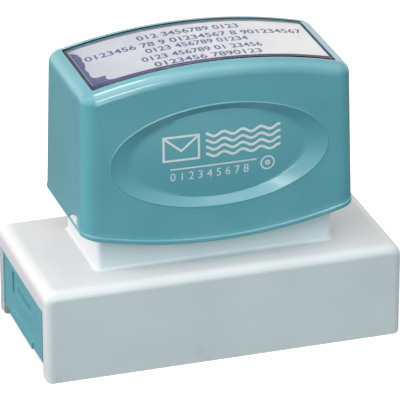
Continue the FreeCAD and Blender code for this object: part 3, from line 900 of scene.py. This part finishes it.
def make_felts():
    """The ink pad, a felt slab whose sides swell and sink a little, and the wick, a felt rod
    with softened ends."""
    half_x, half_y = pad_size[0] / 2, pad_size[1] / 2
    share = np.linspace(0, 1, 17)
    draw = 0.5 * (1 - np.sqrt(1 - (2 * share - 1) ** 8))
    height = die_top + (pad_top - die_top) * share
    grid = np.array([ring(stations, half_x - inset, half_y - inset, 1.4 - inset, 0, z)
                     for inset, z in zip(draw, height)])
    x, y, z = grid[..., 0], grid[..., 1], grid[..., 2]
    swell = 1 + np.sin(x * 0.9 + z * 1.7) * np.sin(y * 1.3 - z * 0.8)
    sway = felt_sway * swell * np.sin(math.pi * share)[:, None]
    grid -= outward * sway[..., None]
    low = shrink(grid[0], 12, lambda x: die_top)
    high = shrink(grid[-1], 12, lambda x: pad_top)
    pad = make_piece("ink_pad_felt", [grid, low, high], felt, "press_unit")
    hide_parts("ink_pad")

    turn = np.linspace(0, 2 * math.pi, 49)
    end_round = 0.5
    corner = wick_radius - end_round
    profile = np.concatenate([
        [(0.0, pad_top)],
        arc((corner, pad_top + end_round), end_round, -90, 0, 4),
        [(wick_radius - 0.04, 22.0), (wick_radius, 30.0)],
        arc((corner, wick_top - end_round), end_round, 0, 90, 4),
        [(0.0, wick_top)],
    ])
    radius, height = profile[:, :1], profile[:, 1:]
    rod = points_of(radius * np.cos(turn), radius * np.sin(turn), height)
    wick = make_piece("ink_wick_felt", [rod], felt, "press_unit")
    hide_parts("ink_wick")


def make_spring(side_name, middle_x):
    """A coil of round wire whose first and last turns are close and whose other turns are evenly
    open. Each section circle stands square to the helix."""
    turns = np.linspace(0, spring_turns, spring_turns * spring_steps + 1)
    close = spring_wire_size + spring_end_gap
    open_pitch = (spring_top - spring_foot - spring_wire_size - 2 * close) / (spring_turns - 2)
    height = np.interp(turns, [0, 1, spring_turns - 1, spring_turns],
                       np.cumsum([0, close, (spring_turns - 2) * open_pitch, close]))
    angle = 2 * math.pi * turns
    out = points_of(np.cos(angle), np.sin(angle), 0.0)
    low = spring_foot + spring_wire_size / 2
    centre = out * spring_radius + points_of(middle_x, 0.0, low + height)
    along = unit(points_of(-out[:, 1] * spring_radius, out[:, 0] * spring_radius,
                           np.gradient(height, angle)))
    up = np.cross(out, along)
    turn = np.linspace(0, 2 * math.pi, 13)
    size = np.full(len(centre) + 2, spring_wire_size / 2)
    size[[0, -1]] = 0
    ends = [0, *range(len(centre)), len(centre) - 1]
    circle = (out[ends, None] * np.cos(turn)[:, None] + up[ends, None] * np.sin(turn)[:, None])
    wire = centre[ends, None] + size[:, None, None] * circle
    spring = make_piece("spring_" + side_name, [wire], spring_wire, "press_unit")
    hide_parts(side_name + "_spring")
    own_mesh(spring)


def make_panel_ribs(side_name, sign):
    """Seven small upright ribs in the panel's field, for the thumb: each is the outer half of
    a slim ellipsoid."""
    sheets = []
    around = np.linspace(0, 2 * math.pi, 25)
    rise = np.linspace(0, math.pi / 2, 7)[:, None]
    for number in range(thumb_ribs):
        middle = (number - (thumb_ribs - 1) / 2) * thumb_rib_pitch
        y = middle + thumb_rib_half_width * np.cos(rise) * np.cos(around)
        z = field_middle + thumb_rib_half_height * np.cos(rise) * np.sin(around)
        out = field_x - thumb_rib_sunk + thumb_rib_proud * np.sin(rise)
        sheets.append(points_of(-out * sign, y * sign, z))
    make_piece("panel_ribs_" + side_name, sheets, teal_satin, side_name + "_panel",
               orient=False)


def make_inner_ribs():
    """Two thin walls across the inside of the handle, up into its roof."""
    sheets = []
    half = rib_thickness / 2
    for x in (-rib_spacing / 2, rib_spacing / 2):
        sheets.append(straight_box(x - half, x + half, -rib_half_width, rib_half_width,
                                   rib_bottom, rib_top))
    make_piece("handle_inner_ribs", sheets, teal_gloss, "handle")


def make_handle():
    """The glossy cap: rim, sides with their dishes, rounded top, window pocket and inside."""
    bead = rim_rows()
    fillet = top_fillet(12)
    sides = wall_rows(bead[-1], fillet[0], 46)
    back_start = front_steps + end_steps + 2 * corner_steps
    front = (0, front_steps)
    back = (back_start, back_start + front_steps)
    sheets = [bead, fillet, sides[:, front[1]:back[0] + 1], sides[:, back[1]:]]
    for (first, last), sign in ((front, 1), (back, -1)):
        sheets.append(dish_rows(block_border(sides, first, last), sign))

    lip_size = (pocket_length / 2 + pocket_edge, pocket_width / 2 + pocket_edge,
                pocket_corner + pocket_edge)
    lip = on_arch(ring(stations, *lip_size, 0, 0), 0)
    top = np.array([fillet[-1] + (lip - fillet[-1]) * share for share in np.linspace(0, 1, 4)])
    top[..., 2] = arch(top[..., 0])
    top[0] = fillet[-1]
    sheets.append(top)
    edge = []
    for inset, depth in arc((0.0, pocket_edge), pocket_edge, -90, 0, 4):
        edge.append(on_arch(ring(stations, *lip_size, inset, 0), depth))
    edge.append(on_arch(edge[-1], pocket_depth))
    sheets.append(np.array(edge))
    sheets.append(shrink(edge[-1], 10, lambda x: arch(x, pocket_depth)))

    ceiling_depth = pocket_depth + roof
    ceiling = side_under(arch, inset=wall, radius=inner_round, depth=ceiling_depth)
    start = bead[0]
    first_inner = side(start[:, 2] + 0.5, wall, inner_round)
    sheets.append(np.array([start, first_inner]))
    sheets.append(wall_rows(first_inner, ceiling, 20, wall, inner_round))
    sheets.append(shrink(ceiling, 10, lambda x: arch(x, ceiling_depth)))
    return make_piece("handle_cap", sheets, teal_gloss, "handle")


def cut_latch_openings(handle):
    """Takes both latch openings out of the handle, with a cutter that is then deleted."""
    mesh = grid_mesh("cutter", [latch_cutter(end) for end in (-1, 1)], True)
    cutter = new_object("cutter", mesh)
    cut = handle.modifiers.new("latch_openings", "BOOLEAN")
    cut.operation = "DIFFERENCE"
    cut.solver = "EXACT"
    cut.object = cutter
    graph = bpy.context.evaluated_depsgraph_get()
    result = bpy.data.meshes.new_from_object(handle.evaluated_get(graph))
    handle.modifiers.remove(cut)
    handle.data = result
    bpy.data.objects.remove(cutter)
    result.set_sharp_from_angle(angle=crease)


# Camera and studio

camera_azimuth = math.radians(-17.807)
camera_elevation = math.radians(24.722)
camera_roll = math.radians(0.052)
camera_distance = 853.07 * MM
camera_shift = (0.3125 * MM, 27.305 * MM)
focal_pixels = 3768.23
frame_pixels = 400
sensor_width = 36.0
lamp_distance = 0.7
lamp_aim = (0, 0, 0.04)
floor_half = 2.0
floor_glow = 0.4
sky_strength = 1.76


def make_camera():
    """A pinhole camera that looks down at the stamp from its front left."""
    back = np.array([math.sin(camera_azimuth) * math.cos(camera_elevation),
                     -math.cos(camera_azimuth) * math.cos(camera_elevation),
                     math.sin(camera_elevation)])
    right = np.cross([0, 0, 1], back)
    right /= np.linalg.norm(right)
    up = np.cross(back, right)
    turn = Matrix.Rotation(camera_roll, 3, "Z")
    axes = np.array(turn) @ np.array([right, up, back])
    data = bpy.data.cameras.new("photo_camera")
    data.sensor_width = sensor_width
    data.lens = focal_pixels / frame_pixels * sensor_width
    camera = new_object("photo_camera", data)
    place = axes.T @ np.array([camera_shift[0], camera_shift[1], camera_distance])
    pose = np.identity(4)
    pose[:3, :3] = axes.T
    pose[:3, 3] = place
    camera.matrix_world = Matrix(pose.tolist())
    bpy.context.scene.camera = camera


def softbox(name, direction, size, radiance, colour, in_gloss, in_matt):
    """A square lamp of even brightness, 0.7 m away in a direction and turned towards the
    stamp. A lamp may be left out of the gloss, or be seen in the gloss alone."""
    away = Vector(direction).normalized()
    data = bpy.data.lights.new(name, "AREA")
    data.size = size
    data.energy = radiance * math.pi * size ** 2
    data.color = linear(colour)[:3]
    light = new_object(name, data)
    light.location = Vector(lamp_aim) + away * lamp_distance
    light.rotation_euler = away.to_track_quat("Z", "Y").to_euler()
    light.visible_camera = False
    light.visible_glossy = in_gloss
    light.visible_diffuse = in_matt


def add_ramp(tree, share, colours):
    """A ramp of five colours from below the horizon up to the zenith."""
    ramp = add(tree, "ShaderNodeValToRGB", links={"Fac": share})
    for _ in range(3):
        ramp.color_ramp.elements.new(0.5)
    for stop, place, colour in zip(ramp.color_ramp.elements, (0.0, 0.2, 0.45, 0.7, 1.0),
                                   colours):
        stop.position = place
        stop.color = linear(colour)
    return ramp.outputs["Color"]


def light_table():
    """Matt white acrylic with lamps behind it, as under a product photograph: it looks white
    up to the foot of the stamp, and only a faint shadow is left there."""
    material = finish_of("acrylic_table_matt", "#fafafa", "#fcfcfc", 300, 0.9, 5, 0.01)
    shader = material.node_tree.nodes["Principled BSDF"]
    shader.inputs["Emission Color"].default_value = linear("#ffffff")
    shader.inputs["Emission Strength"].default_value = floor_glow
    return material


def make_studio():
    """A light table, three soft boxes at the left and in front for the matt surfaces, three
    white cards and three small lamps that show in the gloss alone, and a sky of grey paper."""
    mesh = bpy.data.meshes.new("floor")
    corners = [(-1, -1, 0), (1, -1, 0), (1, 1, 0), (-1, 1, 0)]
    mesh.from_pydata(np.array(corners) * floor_half, [], [(0, 1, 2, 3)])
    mesh.materials.append(light_table())
    floor = new_object("floor", mesh)
    floor.visible_diffuse = False
    floor.visible_glossy = False
    for lamp in (
            ("left_box", (-0.9, 0.1, 0.4), 0.4, 6.5, "#ffe6e4", False, True),
            ("left_front_box", (-0.75, -0.6, 0.3), 0.4, 2.2, "#f1fcff", False, True),
            ("front_fill", (0.05, -1.0, 0.25), 0.4, 2.45, "#e1faff", False, True),
            ("top_card", (0.1, -0.5, 0.86), 0.35, 1.7, "#fff8f8", True, False),
            ("back_card", (0.1, 0.6, 0.8), 0.5, 0.28, "#fffefe", True, False),
            ("front_card", (0.05, -1.0, 0.25), 0.4, 4.55, "#fcfeff", True, False),
            ("high_lamp", (-0.06, 0.0, 1.0), 0.14, 18.0, "#fff2e6", True, False),
            ("mid_lamp", (0.06, -0.88, 0.455), 0.11, 19.0, "#fffaf6", True, False),
            ("low_lamp", (0.08, -0.97, 0.02), 0.09, 16.5, "#faffff", True, False)):
        softbox(*lamp)
    world = bpy.data.worlds.new("studio")
    bpy.context.scene.world = world
    world.use_nodes = True
    tree = world.node_tree
    place = add(tree, "ShaderNodeTexCoord").outputs["Generated"]
    parts = add(tree, "ShaderNodeSeparateXYZ", links={"Vector": place})
    share = add(tree, "ShaderNodeMapRange", inputs={"From Min": -0.2, "From Max": 0.8},
                links={"Value": parts.outputs["Z"]}).outputs["Result"]
    front = add_ramp(tree, share, ["#3a3d3d", "#252525", "#7f8383", "#a5a9aa", "#fff1ea"])
    behind = add_ramp(tree, share, ["#555557", "#cfcbca", "#e3d2cf", "#807d7c", "#898786"])
    back_share = add(tree, "ShaderNodeMapRange", inputs={"From Min": -0.3, "From Max": 0.5},
                     links={"Value": parts.outputs["Y"]}).outputs["Result"]
    both = add(tree, "ShaderNodeMixRGB", links={"Fac": back_share, "Color1": front,
                                                "Color2": behind}).outputs["Color"]
    sky = tree.nodes["Background"]
    tree.links.new(both, sky.inputs["Color"])
    sky.inputs["Strength"].default_value = sky_strength
    bpy.context.scene.view_settings.view_transform = "Standard"


make_camera()
make_studio()
handle = make_handle()
cut_latch_openings(handle)
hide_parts("handle_shell")
make_inner_ribs()
make_window_and_cards()
make_card_print()
make_die()
make_felts()
for side_name, sign in (("left", 1), ("right", -1)):
    make_panel_ribs(side_name, sign)
    make_spring(side_name, -sign * post_spacing / 2)
for side_name, sign in (("front", 1), ("back", -1)):
    make_dish_print(side_name, sign)

finishes = {
    "skirt_shell": grey_satin, "carrier": teal_satin, "left_end_panel": teal_satin,
    "right_end_panel": teal_satin, "die_frame": teal_satin, "stamp_die": die_rubber,
    "ink_pad": felt, "ink_wick": felt, "filler_plug": plug_rubber, "crosshead": acetal_grey,
    "left_post_screw": plated_steel, "right_post_screw": plated_steel,
    "left_spring": spring_wire, "right_spring": spring_wire, "handle_shell": teal_gloss,
    "handle_core": acetal_pale, "index_window": acrylic, "index_card": coated_paper,
    "colour_card": ink_card,
}
for name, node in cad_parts.items():
    for place in node.material_slots:
        place.material = finishes[name]
